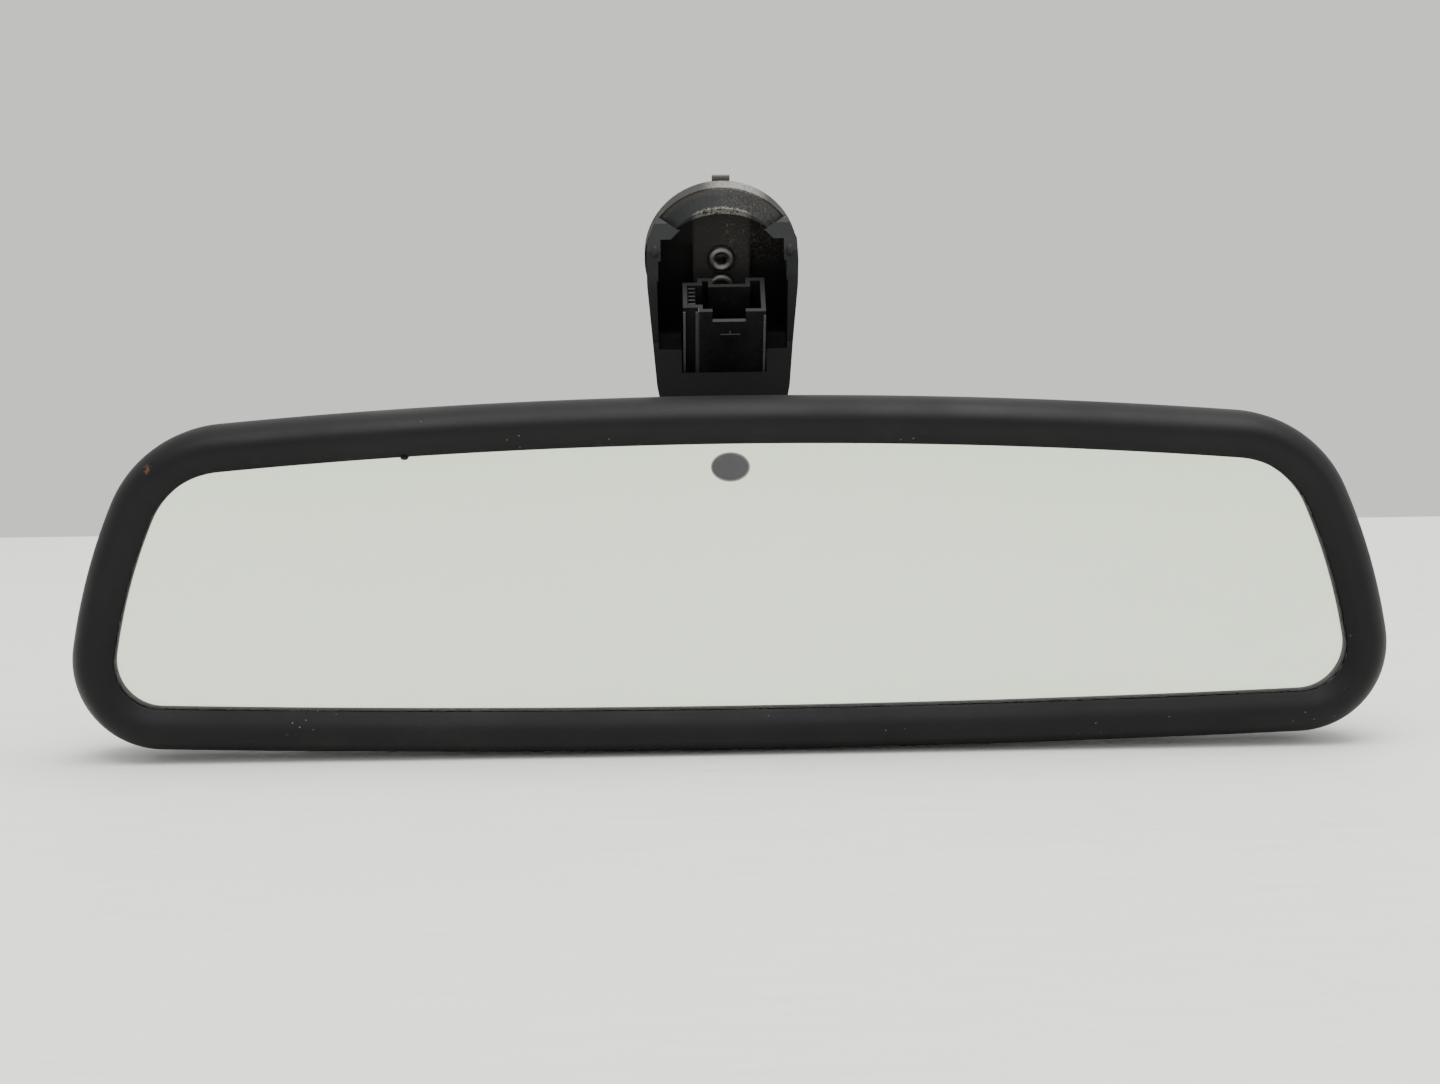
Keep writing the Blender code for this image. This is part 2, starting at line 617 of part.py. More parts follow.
def rear_housing(head, frame):
    rings = [housing_ring(0.4, 0.0), housing_ring(0.5, 3.0), housing_ring(1.4, 7.0), housing_ring(4.0, 13.0),
             housing_ring(8.5, 18.0), housing_ring(14.0, 21.0), housing_ring(14.0, 22.3, 0.78),
             housing_ring(14.0, HOUSING_DEPTH, 0.45)]
    bm = bmesh.new()
    loops = [[bm.verts.new(Vector(point) * MM) for point in ring] for ring in rings]
    for low, high in zip(loops, loops[1:]):
        for index in range(len(low)):
            after = (index + 1) % len(low)
            bm.faces.new((low[index], low[after], high[after], high[index]))
    tip = bm.verts.new(Vector((0, HOUSING_FRONT + HOUSING_DEPTH + 0.3, 0)) * MM)
    for index in range(len(loops[-1])):
        bm.faces.new((loops[-1][index], loops[-1][(index + 1) % len(loops[-1])], tip))
    shell = add_object("rear_housing", mesh_of(bm, "rear_housing"), "housing_plastic", head)
    skin = shell.modifiers.new("wall", "SOLIDIFY")
    skin.thickness = HOUSING_WALL * MM
    skin.offset = -1.0
    for index, (x, z) in enumerate(carrier_screw_places()):
        boss = cylinder(f"boss_{index}", 3.0, 15.4, (x, CARRIER[1] + GAP + 7.7, z), parent=head, sides=20)
        cut(shell, boss, "UNION")
        cut(shell, cylinder(f"boss_bore_{index}", 1.3 + GAP, 8.0, (x, CARRIER[1] + 3.5, z),
                            parent=head, sides=16))
    mouth = cylinder("pivot_mouth", SOCKET[1] + 1.8, 44, (0, 0, 22.0), parent=frame, axis="Z", sides=40)
    cut(shell, mouth)
    cut(shell, ball_cutter("pivot_clearance", SOCKET[1] + 0.6, frame))
    cut(shell, cylinder("lens_hole", LENS_RADIUS + GAP, 20, (LENS_PLACE[0], 26, LENS_PLACE[1]),
                        parent=head, sides=24))
    return smooth(shell)


def carrier_screw_places():
    return [(x, z) for x in (-88.0, 88.0) for z in (-17.0, 16.0)]


def carrier_holes(radius, sides=16):
    return [ellipse(place, radius, radius, sides) for place in carrier_screw_places()]


def socket_screw_holes(radius, sides=16):
    centre_z = BALL_CENTRE[2] - HEAD_CENTRE[2]
    return [ellipse((x, centre_z + z), radius, radius, sides) for x, z in socket_screw_places()]


def window_outline(extra):
    return ellipse((0, WINDOW_Z), WINDOW_HALF_X + extra, WINDOW_HALF_Z + extra)


def between(name, span, outlines, finish, head):
    return plate(name, outlines, span[1] - span[0], span[0], finish, head)


def glass_stack(head):
    between("front_glass", FRONT_GLASS, [head_outline(GLASS_INSET)], "front_glass", head)
    seal_ring = [head_outline(GLASS_INSET), head_outline(GLASS_INSET + 2.2)]
    between("cell_seal", SEAL, seal_ring, "seal_resin", head)
    between("rear_glass", REAR_GLASS, [head_outline(GLASS_INSET), window_outline(0)], "mirror_glass", head)
    between("sensor_window", REAR_GLASS, [window_outline(-GAP)], "window_tint", head)
    for name, low, high in (("upper_bus_clip", 24.2, 26.8), ("lower_bus_clip", -25.6, -23.0)):
        between(name, CLIP, [rectangle(-CLIP_HALF_LENGTH, low, CLIP_HALF_LENGTH, high)], "clip_copper", head)
    between("foam_pad", FOAM, [head_outline(GLASS_INSET + 3), window_outline(0.6), *carrier_holes(3.3),
                              *socket_screw_holes(2.7)], "foam", head)


def carrier(head):
    centre_z = BALL_CENTRE[2] - HEAD_CENTRE[2]
    holes = carrier_holes(1.3 + GAP) + [window_outline(0.3), ellipse((0, centre_z), 4.2, 4.2)]
    holes += socket_screw_holes(1.0 + GAP)
    between("carrier_plate", CARRIER, [head_outline(GLASS_INSET + 1), *holes], "carrier_plastic", head)
    for index, (x, z) in enumerate(carrier_screw_places()):
        screw(f"carrier_screw_{index + 1}", CARRIER[0] - 1.5, 9.0, x, z, head)
    for index, (x, z) in enumerate(socket_screw_places()):
        screw(f"socket_screw_{index + 1}", CARRIER[0] - 1.5, 5.2, x, centre_z + z, head, 1.0, 2.0)


def electronics(head):
    centre_z = BALL_CENTRE[2] - HEAD_CENTRE[2]
    hole = ellipse((0, centre_z), 13.6, 13.6, 32)
    between("circuit_board", BOARD, [rectangle(-17, -20, 62, 25.4), hole], "board_green", head)
    back = BOARD[1] + GAP
    box("glare_sensor", (4.4, 1.0, 3.6), (0, BOARD[0] - GAP - 0.5, WINDOW_Z), "sensor_black", head)
    box("ambient_sensor", (4.4, 1.4, 3.8), (LENS_PLACE[0], back + 0.7, LENS_PLACE[1]), "sensor_black", head)
    depth = HOUSING_FRONT + 0.87 * HOUSING_DEPTH
    pipe_front = back + 1.4 + GAP
    cylinder("rear_light_pipe", LENS_RADIUS, depth + 0.6 - pipe_front,
             (LENS_PLACE[0], (depth + 0.6 + pipe_front) / 2, LENS_PLACE[1]), "window_tint", head, sides=24)
    box("control_chip", (9.0, 1.4, 9.0), (26.0, back + 0.7, -6.0), "sensor_black", head)
    cylinder("capacitor", 3.1, 6.4, (25.0, back + 3.2, 12.0), "capacitor_can", head, sides=24)
    box("board_connector", (9.0, 5.0, 5.0), (52.0, back + 2.5, -12.0), "connector_white", head)


def head_lead(head):
    """The lead from the socket cup's side gate to the board's connector."""
    route = [(2.0, 13.0, 4.0), (7.0, 13.2, 4.0), (12.0, 13.6, 3.4), (20.0, 13.8, 1.4), (30.0, 13.8, -2.4),
             (38.0, 13.8, -7.0), (46.0, 13.4, -11.4)]
    return tube("head_lead", route, 0.8, "wire_sleeve", head)


def build():
    clear_scene()
    global SOLIDS, CUTTERS
    SOLIDS = new_collection("interior_rearview_mirror")
    CUTTERS = new_collection("cutters")
    seat = empty("seat_frame", (0, 0, 0), (SEAT_TILT, 0, 0))
    socket = empty("socket_frame", SOCKET_PLACE, (SOCKET_LEAN, 0, 0))
    stud_frame = empty("stud_frame", BALL_CENTRE, (STUD_LEAN, 0, 0))
    head = empty("head_frame", HEAD_CENTRE)
    bpy.context.view_layer.update()
    foot_casting(seat, socket)
    spring_plate(seat)
    rivet("upper_rivet", RIVET_PITCH / 2, seat)
    rivet("lower_rivet", -RIVET_PITCH / 2, seat)
    connector_housing(socket)
    contact_pins(socket)
    ball_stud(stud_frame)
    wire_loom()
    pivot_rings(stud_frame)
    socket_housing(head, stud_frame)
    ring_nut(stud_frame)
    front_frame(head)
    rear_housing(head, stud_frame)
    glass_stack(head)
    carrier(head)
    electronics(head)
    head_lead(head)


build()
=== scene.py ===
"""Looks for the interior rearview mirror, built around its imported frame."""

import json
from math import atan2, cos, pi, radians, sin

import bmesh
import bpy
from mathutils import Matrix, Vector


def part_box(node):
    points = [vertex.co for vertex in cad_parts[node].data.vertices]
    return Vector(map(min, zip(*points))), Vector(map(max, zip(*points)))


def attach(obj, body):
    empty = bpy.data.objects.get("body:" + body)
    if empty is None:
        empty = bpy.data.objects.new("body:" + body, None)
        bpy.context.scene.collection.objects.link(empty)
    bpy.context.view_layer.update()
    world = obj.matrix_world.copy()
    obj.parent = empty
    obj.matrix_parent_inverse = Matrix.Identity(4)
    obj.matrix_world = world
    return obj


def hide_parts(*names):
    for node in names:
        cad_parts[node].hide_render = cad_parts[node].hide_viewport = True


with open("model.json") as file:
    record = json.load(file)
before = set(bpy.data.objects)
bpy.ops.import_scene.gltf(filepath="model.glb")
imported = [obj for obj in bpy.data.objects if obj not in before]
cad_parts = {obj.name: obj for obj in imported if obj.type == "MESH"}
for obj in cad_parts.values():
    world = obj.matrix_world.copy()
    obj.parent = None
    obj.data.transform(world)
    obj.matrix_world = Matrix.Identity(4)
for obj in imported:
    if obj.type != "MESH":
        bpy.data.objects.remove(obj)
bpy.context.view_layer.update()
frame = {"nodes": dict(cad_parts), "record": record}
NODES = frame["nodes"]
MM = 0.001

# The head's centre at its glass's front face, and its outline in millimetres
HEAD = Vector((0.0, -0.060, -0.0570))
HALF_WIDTH = 125.0
TOP_Z, TOP_RADIUS = 34.0, 1150.0
BOTTOM_Z, BOTTOM_RADIUS = -32.7, 3290.0
SIDE_Z, SIDE_RADIUS = -29.6, 113.0
TOP_CORNER, BOTTOM_CORNER = 24.0, 17.0
FRAME_BACK = 9.0
HOUSING_FRONT, HOUSING_DEPTH, HOUSING_WALL = 9.3, 23.0, 2.0

# Pivot and foot
BALL = Vector((0.0, -0.035, -0.0530))
BALL_SPACE = 0.0128
STUD_LEAN = radians(-49.0)
MOUTH_RADIUS, MOUTH_REACH = 0.0140, 0.040
LENS_HOLE_RADIUS, LENS_HOLE_REACH = 0.0029, 0.020
SEAT_TILT = radians(21.0)
DISC_CENTRE = Vector((0.0, 0.0, 0.003))
SOCKET_PLACE = Vector((0.0002, -0.015, -0.0057))
SOCKET_LEAN = radians(37.0)

# Marks that wear and moulding left: from the head's centre in millimetres, or in the frame's metres
HEAD_RUST = Vector((-107.5, -1.0, 22.2))
HEAD_NIB = Vector((-60.3, -0.30, 23.9))
FOOT_RUST = (0.0120, -0.0105, 0.0035)
CATCH_PLACE = Vector((0.0134, -0.0146, 0.0030))

SHARP_ANGLE = 32.0


# ---------------------------------------------------------------- materials

class Nodes:
    """Builds one material's nodes."""

    def __init__(self, name):
        self.material = bpy.data.materials.new(name)
        self.material.use_nodes = True
        self.tree = self.material.node_tree
        self.shader = self.tree.nodes["Principled BSDF"]
        self.place = self.new("ShaderNodeTexCoord").outputs["Object"]

    def new(self, kind, **values):
        made = self.tree.nodes.new(kind)
        for key, value in values.items():
            setattr(made, key, value)
        return made

    def join(self, source, target):
        self.tree.links.new(source, target)

    def feed(self, node, socket, value):
        """Sets a socket to a number, or links it to an output."""
        if isinstance(value, bpy.types.NodeSocket):
            self.join(value, node.inputs[socket])
        else:
            node.inputs[socket].default_value = value

    def fixed(self, **values):
        for key, value in values.items():
            socket = key.replace("_", " ").title().replace("Ior", "IOR")
            self.shader.inputs[socket].default_value = value
        return self

    def stretched(self, scale, turn=(0, 0, 0)):
        mapping = self.new("ShaderNodeMapping")
        mapping.inputs["Scale"].default_value = scale
        mapping.inputs["Rotation"].default_value = turn
        self.join(self.place, mapping.inputs["Vector"])
        return mapping.outputs["Vector"]

    def local(self, origin, lean):
        """Coordinates in axes set at origin and leaned about X."""
        mapping = self.new("ShaderNodeMapping", vector_type="TEXTURE")
        mapping.inputs["Location"].default_value = origin
        mapping.inputs["Rotation"].default_value = (lean, 0, 0)
        self.join(self.place, mapping.inputs["Vector"])
        return mapping.outputs["Vector"]

    def noise(self, scale, detail=3.0, rough=0.5, vector=None):
        made = self.new("ShaderNodeTexNoise")
        made.inputs["Scale"].default_value = scale
        made.inputs["Detail"].default_value = detail
        made.inputs["Roughness"].default_value = rough
        self.join(vector or self.place, made.inputs["Vector"])
        return made.outputs["Fac"]

    def cells(self, scale, vector=None, jitter=1.0):
        made = self.new("ShaderNodeTexVoronoi")
        made.inputs["Scale"].default_value = scale
        made.inputs["Randomness"].default_value = jitter
        self.join(vector or self.place, made.inputs["Vector"])
        return made.outputs["Distance"]

    def span(self, value, low, high, start=0.0, end=1.0, smooth=False):
        """Maps low..high to start..end, and holds it there outside."""
        made = self.new("ShaderNodeMapRange", interpolation_type="SMOOTHSTEP" if smooth else "LINEAR")
        for key, number in (("From Min", low), ("From Max", high), ("To Min", start), ("To Max", end)):
            made.inputs[key].default_value = number
        self.join(value, made.inputs["Value"])
        return made.outputs["Result"]

    def maths(self, operation, first, second=0.0):
        made = self.new("ShaderNodeMath", operation=operation)
        self.feed(made, 0, first)
        self.feed(made, 1, second)
        return made.outputs[0]

    def times(self, *values):
        product = values[0]
        for value in values[1:]:
            product = self.maths("MULTIPLY", product, value)
        return product

    def mix(self, share, first, second):
        made = self.new("ShaderNodeMix", data_type="RGBA")
        self.feed(made, 0, share)
        self.feed(made, 6, (*first, 1.0) if isinstance(first, tuple) else first)
        self.feed(made, 7, (*second, 1.0) if isinstance(second, tuple) else second)
        return made.outputs[2]

    def axis(self, letter, vector=None):
        made = self.new("ShaderNodeSeparateXYZ")
        self.join(vector or self.place, made.inputs[0])
        return made.outputs[letter]

    def near(self, point, radius, soft=0.3):
        """1 within radius of a point, falling to 0 outside it."""
        away = self.new("ShaderNodeVectorMath", operation="DISTANCE")
        self.join(self.place, away.inputs[0])
        away.inputs[1].default_value = point
        return self.span(away.outputs["Value"], radius * (1 - soft), radius * (1 + soft), 1.0, 0.0, True)

    def bump(self, height, distance, strength=1.0, under=None):
        made = self.new("ShaderNodeBump")
        made.inputs["Distance"].default_value = distance
        made.inputs["Strength"].default_value = strength
        self.join(height, made.inputs["Height"])
        if under is not None:
            self.join(under, made.inputs["Normal"])
        return made.outputs["Normal"]

    def out(self, colour=None, roughness=None, normal=None, metallic=None):
        for socket, value in (("Base Color", colour), ("Roughness", roughness), ("Normal", normal),
                              ("Metallic", metallic)):
            if value is not None:
                self.join(value, self.shader.inputs[socket])
        return self.material


def moulded(name, colour, roughness, grain, depth, **fixed):
    """Moulded plastic: fine grain, faint mottling, roughness that varies."""
    nodes = Nodes(name).fixed(**fixed)
    mottle = nodes.noise(90.0, 4.0)
    darker = tuple(part * 0.88 for part in colour)
    lighter = tuple(min(part * 1.12 + 0.001, 1.0) for part in colour)
    shade = nodes.mix(nodes.span(mottle, 0.35, 0.65), darker, lighter)
    uneven = nodes.span(nodes.noise(240.0, 5.0), 0.3, 0.7, roughness - 0.07, roughness + 0.07)
    return nodes.out(shade, uneven, nodes.bump(nodes.noise(grain, 2.0), depth, 0.6))


def metal(name, colour, roughness, brush=(40.0, 900.0, 900.0)):
    """Bare or plated metal: brushed streaks, tarnish and fine pitting."""
    nodes = Nodes(name).fixed(metallic=1.0)
    streaks = nodes.noise(1.0, 4.0, 0.6, nodes.stretched(brush))
    tarnish = nodes.noise(160.0, 5.0, 0.6)
    dull = tuple(part * 0.62 for part in colour)
    shade = nodes.mix(nodes.span(tarnish, 0.38, 0.68), colour, dull)
    uneven = nodes.span(streaks, 0.3, 0.7, roughness - 0.1, roughness + 0.12)
    pits = nodes.bump(nodes.noise(1500.0, 3.0), 0.00001, 0.5)
    return nodes.out(shade, uneven, nodes.bump(streaks, 0.00001, 0.4, pits))


def frame_material():
    """Soft-touch charcoal with fine grain, dust, hairline scratches, and one rust mark at the top left."""
    nodes = Nodes("frame_soft_touch").fixed(specular_ior_level=0.14)
    mottle = nodes.span(nodes.noise(38.0, 5.0, 0.6), 0.3, 0.7)
    shade = nodes.mix(mottle, (0.0062, 0.0061, 0.0067), (0.0090, 0.0089, 0.0096))
    worn = nodes.span(nodes.noise(14.0, 6.0, 0.7), 0.60, 0.74, 0.0, 0.35)
    shade = nodes.mix(worn, shade, (0.028, 0.027, 0.026))
    dust = nodes.span(nodes.cells(620.0), 0.045, 0.085, 1.0, 0.0)
    sparse = nodes.span(nodes.noise(70.0, 2.0), 0.60, 0.66)
    dust = nodes.times(dust, sparse)
    shade = nodes.mix(nodes.times(dust, 0.75), shade, (0.34, 0.33, 0.31))
    lines = nodes.cells(1.0, nodes.stretched((26.0, 700.0, 900.0), (0.0, 0.5, 0.2)))
    patches = nodes.span(nodes.noise(24.0, 2.0), 0.58, 0.66)
    scratch = nodes.times(nodes.span(lines, 0.02, 0.06, 1.0, 0.0), patches)
    shade = nodes.mix(nodes.times(scratch, 0.5), shade, (0.062, 0.061, 0.059))
    rust_spot = nodes.near(HEAD + HEAD_RUST * MM, 0.0010, 0.5)
    speckle = nodes.span(nodes.noise(1300.0, 3.0), 0.44, 0.56)
    rust = nodes.times(rust_spot, speckle)
    shade = nodes.mix(rust, shade, (0.105, 0.046, 0.029))
    uneven = nodes.span(nodes.noise(55.0, 6.0, 0.6), 0.3, 0.7, 0.44, 0.58)
    grain = nodes.bump(nodes.noise(3200.0, 2.0), 0.000025, 0.55)
    rolling = nodes.bump(nodes.noise(120.0, 3.0), 0.00003, 0.35, grain)
    return nodes.out(shade, uneven, nodes.bump(dust, 0.00008, 0.6, rolling))


def mirror_material():
    """Silvering behind the cell: a faint green cast, smears, and slight waviness."""
    nodes = Nodes("mirror_silvering").fixed(metallic=1.0)
    cast = nodes.span(nodes.noise(5.0, 3.0), 0.35, 0.65)
    shade = nodes.mix(cast, (0.810, 0.855, 0.745), (0.835, 0.868, 0.768))
    smear = nodes.noise(1.0, 5.0, 0.7, nodes.stretched((30.0, 30.0, 90.0)))
    uneven = nodes.span(smear, 0.45, 0.75, 0.006, 0.05)
    waves = nodes.noise(1.0, 2.0, 0.5, nodes.stretched((14.0, 20.0, 60.0)))
    return nodes.out(shade, uneven, nodes.bump(waves, 0.00002, 0.10))


def clear_glass_material():
    nodes = Nodes("cell_front_glass").fixed(transmission_weight=1.0, ior=1.45, specular_ior_level=0.35)
    tint = nodes.span(nodes.noise(6.0, 2.0), 0.3, 0.7)
    shade = nodes.mix(tint, (0.955, 0.975, 0.955), (0.972, 0.985, 0.965))
    specks = nodes.times(nodes.span(nodes.cells(420.0), 0.03, 0.05, 1.0, 0.0),
                         nodes.span(nodes.noise(45.0, 2.0), 0.64, 0.68))
    shade = nodes.mix(nodes.times(specks, 0.6), shade, (0.42, 0.40, 0.34))
    film = nodes.span(nodes.noise(1.0, 6.0, 0.7, nodes.stretched((20.0, 20.0, 60.0))), 0.5, 0.8, 0.0, 0.018)
    return nodes.out(shade, film)


def window_material():
    """The light window: near-black plum, a little lighter towards its top, behind the clear glass."""
    nodes = Nodes("light_window").fixed(specular_ior_level=0.06)
    low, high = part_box("sensor_window")
    fall = nodes.span(nodes.axis("Z"), low.z, high.z)
    shade = nodes.mix(fall, (0.006, 0.004, 0.015), (0.018, 0.015, 0.025))
    cloud = nodes.span(nodes.noise(500.0, 4.0), 0.3, 0.7, 0.0, 0.35)
    shade = nodes.mix(cloud, shade, (0.022, 0.018, 0.033))
    uneven = nodes.span(nodes.noise(700.0, 3.0), 0.3, 0.7, 0.25, 0.4)
    return nodes.out(shade, uneven, nodes.bump(nodes.noise(2500.0, 2.0), 0.00001, 0.3))


def foot_material():
    """Cast zinc: thin dark paint, a browner panel behind the rivets, painted shade in the recessed pockets
    beside it, gloss black down the arm, paint worn to bare metal on the rim, the arch and the right wall, and
    a painted highlight where the rim's top and the arch's upward chamfer face the overhead light."""
    nodes = Nodes("foot_casting_worn_and_painted_light").fixed(coat_weight=0.03, coat_roughness=0.35, specular_ior_level=0.18)
    seat = nodes.local((0, 0, 0), SEAT_TILT)
    across, ahead, up = (nodes.axis(letter, seat) for letter in "XYZ")
    aside = nodes.maths("ABSOLUTE", across)
    lift = nodes.span(nodes.noise(60.0, 5.0, 0.6), 0.3, 0.7)
    paint = nodes.mix(lift, (0.012, 0.0125, 0.0135), (0.022, 0.023, 0.0245))
    height = nodes.axis("Z")
    lower = nodes.span(height, -0.0135, -0.0175, 0.0, 1.0, True)
    paint = nodes.mix(lower, paint, (0.0050, 0.0050, 0.0055))
    floor = nodes.span(ahead, -0.0058, -0.0050)
    specks = nodes.times(nodes.span(nodes.cells(1300.0), 0.20, 0.26, 0.6, 0.0),
                         nodes.span(nodes.noise(420.0, 2.0), 0.56, 0.60))
    panel = nodes.mix(specks, (0.027, 0.0258, 0.0235), (0.16, 0.155, 0.145))
    paint = nodes.mix(floor, paint, panel)
    # Painted shade: the recessed pockets either side of the panel are painted near-black for the shade that
    # falls in them.
    pocket_shade = nodes.times(nodes.span(ahead, -0.0075, -0.0070), nodes.span(aside, 0.0053, 0.0060))
    pocket_shade = nodes.times(pocket_shade, nodes.span(up, 0.0125, 0.0110))
    paint = nodes.mix(pocket_shade, paint, (0.0035, 0.0035, 0.0035))
    flat = nodes.new("ShaderNodeCombineXYZ")
    nodes.join(across, flat.inputs["X"])
    nodes.join(up, flat.inputs["Z"])
    away = nodes.new("ShaderNodeVectorMath", operation="DISTANCE")
    nodes.join(flat.outputs["Vector"], away.inputs[0])
    away.inputs[1].default_value = DISC_CENTRE
    radius = away.outputs["Value"]
    grit = nodes.noise(2200.0, 4.0, 0.75)
    patch = nodes.span(nodes.noise(95.0, 4.0, 0.6), 0.40, 0.62)
    above = nodes.span(height, -0.004, 0.006, 0.0, 1.0, True)
    middle = nodes.span(across, -0.0050, 0.0010, 0.1, 1.0, True)
    zone = nodes.times(nodes.times(patch, above), middle)
    zone = nodes.times(zone, nodes.span(ahead, -0.0090, -0.0084))
    bare = nodes.times(nodes.span(grit, 0.50, 0.62), zone)
    shade = nodes.mix(nodes.times(bare, 0.6), paint, (0.115, 0.100, 0.083))
    rust_spot = nodes.near(FOOT_RUST, 0.0030, 0.6)
    rusty = nodes.times(nodes.span(nodes.noise(1300.0, 3.0), 0.52, 0.62), rust_spot)
    shade = nodes.mix(nodes.times(rusty, 0.75), shade, (0.17, 0.080, 0.036))
    # Worn bare metal with a painted highlight: the rim is painted lighter only along its top and towards the
    # right, where the overhead light catches it.
    rim = nodes.span(radius, 0.01500, 0.01545, 0.0, 0.8)
    rim = nodes.times(rim, nodes.span(up, 0.0150, 0.0175, 0.0, 1.0, True))
    rim = nodes.times(rim, nodes.span(across, -0.0045, 0.0005, 0.05, 1.0, True))
    rim = nodes.times(rim, nodes.span(grit, 0.36, 0.56, 0.35, 1.0))
    shade = nodes.mix(rim, shade, (0.34, 0.33, 0.31))
    # Wear with a painted highlight: the arch's upward-facing chamfer is painted lighter, most in its middle,
    # where worn metal meets the overhead light.
    arch = nodes.times(nodes.span(ahead, -0.0083, -0.0079), nodes.span(ahead, -0.0075, -0.0079))
    arch = nodes.times(arch, nodes.span(up, 0.0110, 0.0135, 0.0, 0.8, True))
    arch = nodes.times(arch, nodes.span(aside, 0.0065, 0.0040, 0.0, 1.0, True))
    arch = nodes.times(arch, nodes.span(grit, 0.42, 0.56))
    shade = nodes.mix(arch, shade, (0.26, 0.245, 0.22))
    metallic = nodes.maths("MAXIMUM", nodes.times(bare, 0.5), rim)
    gloss = nodes.span(lower, 0.0, 1.0, 0.55, 0.30)
    uneven = nodes.maths("ADD", gloss, nodes.span(nodes.noise(420.0, 5.0), 0.3, 0.7, -0.07, 0.09))
    cast_skin = nodes.bump(nodes.noise(900.0, 4.0), 0.00003, 0.5)
    return nodes.out(shade, uneven, nodes.bump(bare, 0.00004, 0.5, cast_skin), metallic)


def connector_material():
    """Gloss black nylon with faint flow lines, rubbed spots, a dull dark mouth, and a painted highlight on
    the ridges and the mould tick.
    """
    nodes = Nodes("socket_nylon").fixed(coat_weight=0.03, coat_roughness=0.25, specular_ior_level=0.2)
    socket = nodes.local(SOCKET_PLACE, SOCKET_LEAN)
    flow = nodes.noise(1.0, 4.0, 0.5, nodes.stretched((200.0, 200.0, 30.0)))
    shade = nodes.mix(nodes.span(flow, 0.35, 0.65), (0.0095, 0.0095, 0.0108), (0.0160, 0.0160, 0.0185))
    rubbed = nodes.span(nodes.noise(330.0, 5.0, 0.7), 0.60, 0.70, 0.0, 0.35)
    shade = nodes.mix(rubbed, shade, (0.045, 0.044, 0.042))
    mouth = nodes.span(nodes.axis("Z", socket), -0.00025, -0.00008, 0.0, 0.7)
    shade = nodes.mix(mouth, shade, (0.008, 0.0082, 0.0085))
    front = nodes.axis("Y", socket)
    from_left = nodes.axis("X", socket)
    # Painted highlight: the ridges and the mould tick that stand proud of the socket's front are painted
    # light grey where their edges catch the light.
    wing_ridge_highlight = nodes.times(nodes.span(front, -0.00400, -0.00410),
                              nodes.span(from_left, -0.0050, -0.0052))
    ridge_highlight = nodes.maths("MAXIMUM", wing_ridge_highlight, nodes.span(front, -0.00528, -0.00534))
    shade = nodes.mix(nodes.times(ridge_highlight, 0.8), shade, (0.13, 0.13, 0.133))
    uneven = nodes.span(nodes.noise(260.0, 5.0), 0.3, 0.7, 0.22, 0.38)
    uneven = nodes.maths("ADD", uneven, nodes.times(mouth, 0.5))
    return nodes.out(shade, uneven, nodes.bump(nodes.noise(1800.0, 3.0), 0.00001, 0.4))


def board_material():
    """Green solder mask over copper tracks."""
    nodes = Nodes("circuit_mask").fixed(coat_weight=0.4, coat_roughness=0.15)
    tracks = nodes.cells(260.0, nodes.stretched((1.0, 1.0, 2.2)), 0.35)
    shade = nodes.mix(nodes.span(tracks, 0.30, 0.34), (0.012, 0.10, 0.04), (0.035, 0.19, 0.08))
    pads = nodes.span(nodes.cells(330.0), 0.10, 0.13, 1.0, 0.0)
    shade = nodes.mix(nodes.times(pads, 0.8), shade, (0.62, 0.60, 0.55))
    uneven = nodes.span(nodes.noise(300.0, 3.0), 0.3, 0.7, 0.3, 0.45)
    return nodes.out(shade, uneven, nodes.bump(tracks, 0.00004, 0.5))


def foam_material():
    nodes = Nodes("foam_open_cell")
    holes = nodes.cells(1700.0)
    shade = nodes.mix(nodes.span(holes, 0.2, 0.6), (0.012, 0.012, 0.012), (0.075, 0.075, 0.075))
    uneven = nodes.span(nodes.noise(400.0, 3.0), 0.3, 0.7, 0.85, 0.98)
    return nodes.out(shade, uneven, nodes.bump(holes, 0.0002, 0.8))


